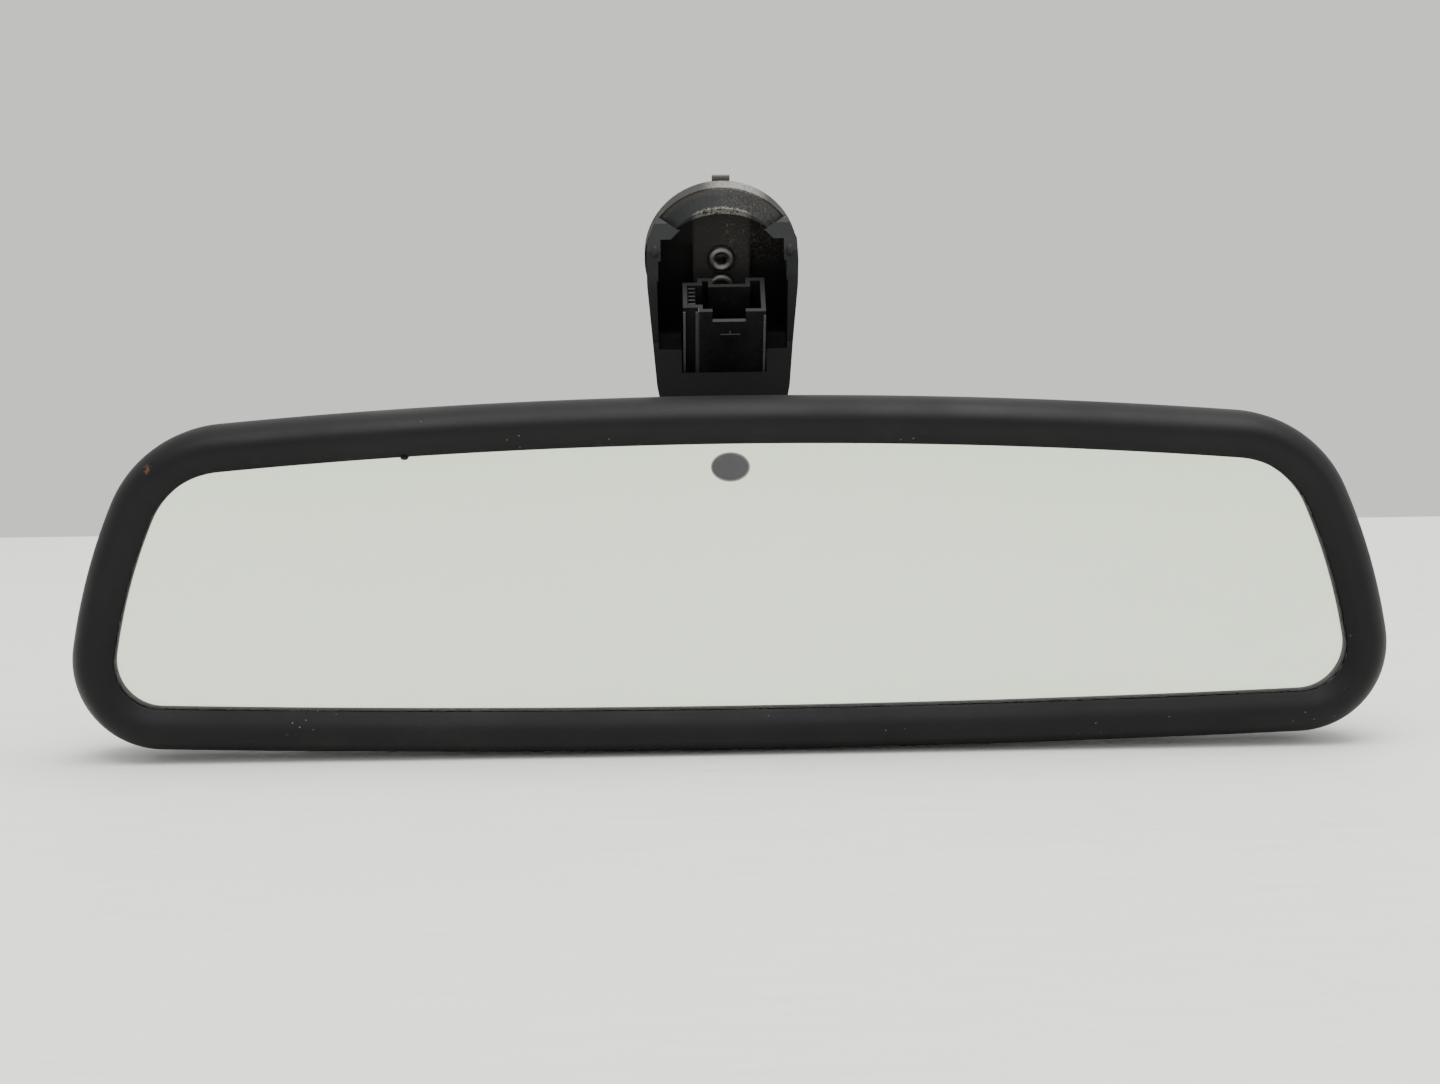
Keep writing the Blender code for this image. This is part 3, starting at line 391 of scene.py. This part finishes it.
def materials():
    """One material for each of the record's slots."""
    return {
        "cast_zinc": foot_material(),
        "spring_steel": metal("spring_steel", (0.17, 0.165, 0.16), 0.45),
        "rivet_steel": metal("rivet_steel", (0.20, 0.195, 0.185), 0.42, (500.0, 500.0, 500.0)),
        "black_nylon": connector_material(),
        "pin_brass": metal("pin_brass", (0.62, 0.46, 0.22), 0.25, (900.0, 900.0, 60.0)),
        "ball_steel": metal("ball_steel", (0.62, 0.62, 0.63), 0.18, (300.0, 300.0, 900.0)),
        "wire_sleeve": moulded("wire_sleeve", (0.020, 0.020, 0.021), 0.55, 1800.0, 0.00004),
        "acetal": moulded("acetal", (0.62, 0.61, 0.57), 0.38, 2200.0, 0.00001, subsurface_weight=0.05),
        "frame_plastic": frame_material(),
        "housing_plastic": moulded("housing_grain", (0.026, 0.026, 0.028), 0.52, 1500.0, 0.00006),
        "front_glass": clear_glass_material(),
        "mirror_glass": mirror_material(),
        "seal_resin": moulded("seal_resin", (0.22, 0.21, 0.17), 0.4, 800.0, 0.00002),
        "window_tint": window_material(),
        "clip_copper": metal("bus_clip_copper", (0.70, 0.42, 0.27), 0.28, (30.0, 800.0, 800.0)),
        "foam": foam_material(),
        "carrier_plastic": moulded("carrier_plastic", (0.045, 0.045, 0.046), 0.5, 1400.0, 0.00004),
        "board_green": board_material(),
        "sensor_black": moulded("sensor_epoxy", (0.016, 0.016, 0.017), 0.2, 900.0, 0.00001),
        "capacitor_can": metal("capacitor_can", (0.60, 0.61, 0.63), 0.26, (60.0, 900.0, 900.0)),
        "connector_white": moulded("header_nylon", (0.66, 0.65, 0.60), 0.42, 1200.0, 0.00002),
        "screw_zinc": metal("screw_zinc", (0.66, 0.66, 0.60), 0.3, (400.0, 90.0, 400.0)),
    }


FINISH = materials()


def dress(obj, slot):
    obj.data.materials.clear()
    obj.data.materials.append(FINISH[slot])


def dress_cad_nodes():
    for part in frame["record"]["subparts"]:
        dress(NODES[part["node"]], part["material_slot"])


# ---------------------------------------------------------------- outlines

def crossing(first, first_radius, second, second_radius, prefer):
    """Where two circles cross, on the side that prefer scores highest."""
    along = second - first
    length = along.length
    reach = (first_radius ** 2 - second_radius ** 2 + length ** 2) / (2 * length)
    side = (first_radius ** 2 - reach ** 2) ** 0.5
    middle = first + along / length * reach
    off = Vector((-along.y, along.x)) / length * side
    return max((middle + off, middle - off), key=prefer)


def arc(centre, radius, start, end, count):
    turns = [start + (end - start) * i / count for i in range(count + 1)]
    return [(centre[0] + radius * cos(turn), centre[1] + radius * sin(turn)) for turn in turns]


def bearing(centre, point):
    return atan2(point[1] - centre[1], point[0] - centre[0])


def head_outline(inset=0.0):
    """The head's outline in millimetres, finely stepped, clockwise from its top middle."""
    top = Vector((0.0, TOP_Z - TOP_RADIUS))
    bottom = Vector((0.0, BOTTOM_Z + BOTTOM_RADIUS))
    side = Vector((HALF_WIDTH - SIDE_RADIUS, SIDE_Z))
    upper = crossing(top, TOP_RADIUS - TOP_CORNER, side, SIDE_RADIUS - TOP_CORNER, lambda p: p.x + p.y)
    lower = crossing(bottom, BOTTOM_RADIUS - BOTTOM_CORNER, side, SIDE_RADIUS - BOTTOM_CORNER,
                     lambda p: p.x - p.y)
    top_end, side_start = bearing(top, upper), bearing(side, upper)
    side_end, bottom_start = bearing(side, lower), bearing(bottom, lower)
    half = arc(top, TOP_RADIUS - inset, pi / 2, top_end, 30)
    half += arc(upper, TOP_CORNER - inset, top_end, side_start, 20)[1:]
    half += arc(side, SIDE_RADIUS - inset, side_start, side_end, 14)[1:]
    half += arc(lower, BOTTOM_CORNER - inset, side_end, bottom_start, 24)[1:]
    half += arc(bottom, BOTTOM_RADIUS - inset, bottom_start, -pi / 2, 26)[1:]
    return half + [(-x, z) for x, z in half[-2:0:-1]]


# ---------------------------------------------------------------- mesh tools

def linked(name, bm):
    """The mesh as an object in the scene."""
    mesh = bpy.data.meshes.new(name)
    bm.to_mesh(mesh)
    bm.free()
    obj = bpy.data.objects.new(name, mesh)
    bpy.context.scene.collection.objects.link(obj)
    return obj


def shade_round(obj, angle=SHARP_ANGLE):
    obj.data.shade_smooth()
    obj.data.set_sharp_from_angle(angle=radians(angle))


def new_piece(name, bm, slot, body, angle=35.0):
    bmesh.ops.recalc_face_normals(bm, faces=bm.faces)
    obj = linked(name, bm)
    dress(obj, slot)
    shade_round(obj, angle)
    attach(obj, body)
    return obj


def helper(name, bm):
    """A cutter, which apply_cut removes again."""
    bmesh.ops.recalc_face_normals(bm, faces=bm.faces)
    return linked(name, bm)


def rings_to_mesh(bm, rings, close_across=False):
    """Quads between successive closed rings of points in metres."""
    loops = [[bm.verts.new(point) for point in ring] for ring in rings]
    pairs = list(zip(loops, loops[1:]))
    if close_across:
        pairs.append((loops[-1], loops[0]))
    for low, high in pairs:
        for index in range(len(low)):
            after = (index + 1) % len(low)
            bm.faces.new((low[index], low[after], high[after], high[index]))
    return loops


def apply_cut(obj, cutter):
    """Cuts obj with the cutter, keeps the result as its mesh and removes the cutter."""
    made = obj.modifiers.new("cut", "BOOLEAN")
    made.operation = "DIFFERENCE"
    made.object = cutter
    made.solver = "EXACT"
    bake(obj)
    bpy.data.objects.remove(cutter, do_unlink=True)


def bake(obj):
    bpy.context.view_layer.update()
    graph = bpy.context.evaluated_depsgraph_get()
    old = obj.data
    obj.data = bpy.data.meshes.new_from_object(obj.evaluated_get(graph))
    obj.data.name = obj.name
    obj.modifiers.clear()
    bpy.data.meshes.remove(old)


def round_edges(obj, width, segments, angle):
    made = obj.modifiers.new("rounded_edges", "BEVEL")
    made.width = width
    made.segments = segments
    made.limit_method = "ANGLE"
    made.angle_limit = radians(angle)


def head_points(outline, behind):
    return [HEAD + Vector((x, behind, z)) * MM for x, z in outline]


# ---------------------------------------------------------------- the head

def frame_section():
    """(inset, behind) round the frame's section, from its back edge over the crown to the glass."""
    crown_back, crown_rise, crown_middle, crown_steps = 6.0, 8.35, 4.3, 13
    section = [(0.40, FRAME_BACK), (0.05, FRAME_BACK - 0.4), (0.0, crown_back)]
    for step in range(1, crown_steps + 1):
        turn = pi - (pi / 2) * step / crown_steps
        section.append((crown_middle * (1 + cos(turn)), crown_back - crown_rise * sin(turn) ** 0.9))
    section += [(5.3, -2.20), (6.2, -1.78), (7.0, -1.22), (7.7, -0.68), (8.2, -0.32), (8.38, -0.12),
                (8.36, 0.02), (8.2, 0.06), (4.6, 0.06), (4.6, 2.0), (2.0, 4.0), (2.0, FRAME_BACK)]
    return section


def smooth_frame():
    bm = bmesh.new()
    rings = [head_points(head_outline(inset), behind) for inset, behind in frame_section()]
    rings_to_mesh(bm, rings, close_across=True)
    obj = new_piece("front_frame_skin", bm, "frame_plastic", "head", 50.0)
    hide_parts("front_frame")
    return obj


def housing_ring(inset, depth, shrink=1.0):
    """A ring of the shell at a depth, which falls away towards the head's two ends."""
    return [HEAD + Vector((x * shrink, HOUSING_FRONT + depth * (1 - 0.42 * (x * shrink / HALF_WIDTH) ** 2),
                           z * shrink)) * MM for x, z in head_outline(inset)]


def cylinder_cutter(name, radius, depth, centre, turn, sides=64):
    bm = bmesh.new()
    bmesh.ops.create_cone(bm, cap_ends=True, segments=sides, radius1=radius, radius2=radius, depth=depth)
    bmesh.ops.transform(bm, matrix=Matrix.Translation(centre) @ turn, verts=bm.verts)
    return helper(name, bm)


def smooth_housing():
    """The rear shell: a fine dome, its pivot mouth, and the rear lens hole."""
    steps = [(0.4, 0.0), (0.4, 0.35), (0.85, 0.6), (0.85, 1.1), (0.45, 1.3), (0.5, 3.0), (0.8, 5.0),
             (1.4, 7.2), (2.4, 9.8), (4.0, 13.0), (5.9, 15.8), (8.5, 18.2), (11.2, 20.0), (14.0, 21.0)]
    rings = [housing_ring(inset, depth) for inset, depth in steps]
    rings += [housing_ring(steps[-1][0], depth, shrink)
              for shrink, depth in ((0.92, 21.55), (0.80, 22.15), (0.62, 22.6), (0.42, 22.9), (0.2, 23.05))]
    bm = bmesh.new()
    loops = rings_to_mesh(bm, rings)
    tip = bm.verts.new(HEAD + Vector((0, HOUSING_FRONT + HOUSING_DEPTH + 0.1, 0)) * MM)
    for index, corner in enumerate(loops[-1]):
        bm.faces.new((corner, loops[-1][(index + 1) % len(loops[-1])], tip))
    obj = new_piece("rear_housing_skin", bm, "housing_plastic", "head", 40.0)
    skin = obj.modifiers.new("wall", "SOLIDIFY")
    skin.thickness = HOUSING_WALL * MM
    skin.offset = -1.0
    bake(obj)
    stud_turn = Matrix.Rotation(STUD_LEAN, 4, "X")
    along = stud_turn @ Vector((0, 0, 1))
    mouth_centre = BALL + along * MOUTH_REACH / 2
    apply_cut(obj, cylinder_cutter("mouth", MOUTH_RADIUS, MOUTH_REACH, mouth_centre, stud_turn))
    ball = bmesh.new()
    bmesh.ops.create_uvsphere(ball, u_segments=48, v_segments=32, radius=BALL_SPACE)
    bmesh.ops.transform(ball, matrix=Matrix.Translation(BALL), verts=ball.verts)
    apply_cut(obj, helper("ball_space", ball))
    lens_low, lens_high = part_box("rear_light_pipe")
    lens_place = (lens_low + lens_high) / 2 + Vector((0, 0.006, 0))
    across = Matrix.Rotation(pi / 2, 4, "X")
    apply_cut(obj, cylinder_cutter("lens_hole", LENS_HOLE_RADIUS, LENS_HOLE_REACH, lens_place, across))
    shade_round(obj)
    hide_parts("rear_housing")
    return obj


def moulding_nib():
    """The small flash nib left on the frame's inner top edge."""
    bm = bmesh.new()
    bmesh.ops.create_icosphere(bm, subdivisions=3, radius=0.00050)
    bmesh.ops.scale(bm, vec=Vector((1.5, 0.9, 0.85)), verts=bm.verts)
    bmesh.ops.transform(bm, matrix=Matrix.Translation(HEAD + HEAD_NIB * MM), verts=bm.verts)
    return new_piece("frame_flash_nib", bm, "frame_plastic", "head")


def window_bezel():
    """The thin dark ring round the light window."""
    low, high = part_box("sensor_window")
    centre = (low + high) / 2
    half_x, half_z = (high.x - low.x) / 2, (high.z - low.z) / 2
    sides = 64
    bm = bmesh.new()
    rings = []
    for grow, behind in ((0.02, -0.1), (0.30, -0.1), (0.30, 0.6), (0.02, 0.6)):
        ring = []
        for step in range(sides):
            turn = 2 * pi * step / sides
            ring.append(Vector((centre.x + (half_x + grow * MM) * cos(turn), low.y + behind * MM,
                                centre.z + (half_z + grow * MM) * sin(turn))))
        rings.append(ring)
    rings_to_mesh(bm, rings, close_across=True)
    return new_piece("window_ring", bm, "seal_resin", "head")


# ---------------------------------------------------------------- the foot

def socket_place(x, y, z):
    """A point in the cable socket's own axes, in millimetres, as a place in the frame."""
    return SOCKET_PLACE + Matrix.Rotation(SOCKET_LEAN, 3, "X") @ (Vector((x, y, z)) * MM)


def socket_block(bm, low, high):
    corners = bmesh.ops.create_cube(bm, size=1.0)["verts"]
    size = [h - l for l, h in zip(low, high)]
    middle = [(h + l) / 2 for l, h in zip(low, high)]
    for corner in corners:
        point = [middle[axis] + corner.co[axis] * size[axis] for axis in range(3)]
        corner.co = socket_place(*point)


def socket_keys():
    """Coding ribs in the wing of the cable socket's mouth."""
    count, pitch = 5, 1.2
    bm = bmesh.new()
    for step in range(count):
        centre = (step - (count - 1) / 2) * pitch
        socket_block(bm, (-7.2, centre - 0.22, -5.0), (-5.7, centre + 0.22, -0.25))
    obj = new_piece("socket_coding_ribs", bm, "black_nylon", "foot")
    round_edges(obj, 0.0001, 2, 40.0)
    return obj


def socket_tick():
    """A generic mould tick on the front of the cable socket."""
    bm = bmesh.new()
    socket_block(bm, (-0.9, -5.38, -5.9), (3.2, -5.22, -5.7))
    socket_block(bm, (1.0, -5.38, -5.7), (1.2, -5.22, -4.9))
    return new_piece("socket_mould_tick", bm, "black_nylon", "foot")


def wall_nubs():
    """The rounded catches on the front edges of the foot's two side walls."""
    for side, name in ((-1, "left"), (1, "right")):
        bm = bmesh.new()
        bmesh.ops.create_uvsphere(bm, u_segments=24, v_segments=16, radius=0.0007)
        bmesh.ops.scale(bm, vec=Vector((1.0, 0.8, 1.7)), verts=bm.verts)
        centre = Vector((side * CATCH_PLACE.x, CATCH_PLACE.y, CATCH_PLACE.z))
        bmesh.ops.transform(bm, matrix=Matrix.Translation(centre), verts=bm.verts)
        new_piece(f"{name}_cover_catch", bm, "cast_zinc", "foot")


def soften_cad_edges():
    for name, width in (("foot_casting", 0.00035), ("connector_housing", 0.00014), ("spring_plate", 0.00012),
                        ("sensor_window", 0.00012), ("control_chip", 0.0001), ("board_connector", 0.0002)):
        round_edges(NODES[name], width, 3, SHARP_ANGLE)
    for name in ("upper_rivet", "lower_rivet", "ball_stud", "socket_ring_nut", "socket_housing", "ball_liner",
                 "tilt_ring", "capacitor", "rear_light_pipe", "foot_casting", "connector_housing"):
        shade_round(NODES[name])


# ---------------------------------------------------------------- the stage

FLOOR_Z = HEAD.z + (BOTTOM_Z - 0.15) * MM
FLOOR_END = 0.30


def floor_material():
    nodes = Nodes("stage_floor")
    ripple = nodes.noise(1.0, 5.0, 0.6, nodes.stretched((60.0, 300.0, 60.0)))
    broad = nodes.noise(3.0, 3.0)
    shade = nodes.mix(nodes.span(broad, 0.3, 0.7), (0.86, 0.865, 0.835), (0.90, 0.905, 0.875))
    uneven = nodes.span(ripple, 0.3, 0.7, 0.42, 0.6)
    return nodes.out(shade, uneven, nodes.bump(ripple, 0.0006, 0.35))


def stage():
    """A pale table top, which ends behind the mirror."""
    reach = 3.0
    bm = bmesh.new()
    corners = [(-reach, -reach, FLOOR_Z), (reach, -reach, FLOOR_Z), (reach, FLOOR_END, FLOOR_Z),
               (-reach, FLOOR_END, FLOOR_Z)]
    bm.faces.new([bm.verts.new(corner) for corner in corners])
    obj = linked("stage_floor", bm)
    obj.data.materials.append(floor_material())


def soft_light(name, size, power, place, target, colour=(1.0, 1.0, 1.0)):
    data = bpy.data.lights.new(name, "AREA")
    data.shape = "RECTANGLE"
    data.size, data.size_y = size
    data.energy = power
    data.color = colour
    obj = bpy.data.objects.new(name, data)
    bpy.context.scene.collection.objects.link(obj)
    obj.location = place
    obj.rotation_euler = (Vector(target) - Vector(place)).to_track_quat("-Z", "Y").to_euler()


def lights():
    centre = tuple(HEAD)
    soft_light("overhead", (1.6, 1.0), 27.5, (0.1, -0.15, 1.15), centre, (1.0, 0.995, 0.98))
    soft_light("front_fill", (1.8, 1.0), 3.5, (-0.5, -1.7, 0.9), centre, (0.98, 0.99, 1.0))
    soft_light("side_fill", (0.7, 0.9), 3.0, (1.3, -0.3, 0.45), centre)
    world = bpy.data.worlds.new("soft_room")
    bpy.context.scene.world = world
    world.use_nodes = True
    background = world.node_tree.nodes["Background"]
    background.inputs["Color"].default_value = (0.90, 0.905, 0.875, 1.0)
    background.inputs["Strength"].default_value = 0.98


def camera():
    """Looks down a little onto the head's face from in front, slightly turned and rolled."""
    pitch, yaw, roll = 0.1237, -0.0216, -0.0123
    across, up_by, distance = 2.25, -7.229, 558.8
    forward = Vector((0, cos(pitch), -sin(pitch)))
    up = Vector((0, sin(pitch), cos(pitch)))
    right = Vector((1, 0, 0))
    spin = Matrix.Rotation(yaw, 3, "Z")
    forward, up, right = spin @ forward, spin @ up, spin @ right
    right, up = right * cos(roll) + up * sin(roll), up * cos(roll) - right * sin(roll)
    data = bpy.data.cameras.new("camera")
    data.sensor_width = 36.0
    data.lens = 75.0
    data.clip_start = 0.01
    obj = bpy.data.objects.new("camera", data)
    bpy.context.scene.collection.objects.link(obj)
    turn = Matrix((right, up, -forward)).transposed()
    place = HEAD - (right * across + up * up_by + forward * distance) * MM
    obj.matrix_world = Matrix.Translation(place) @ turn.to_4x4()
    bpy.context.scene.camera = obj


camera()
stage()
lights()
dress_cad_nodes()
soften_cad_edges()
smooth_frame()
smooth_housing()
moulding_nib()
window_bezel()
socket_keys()
socket_tick()
wall_nubs()
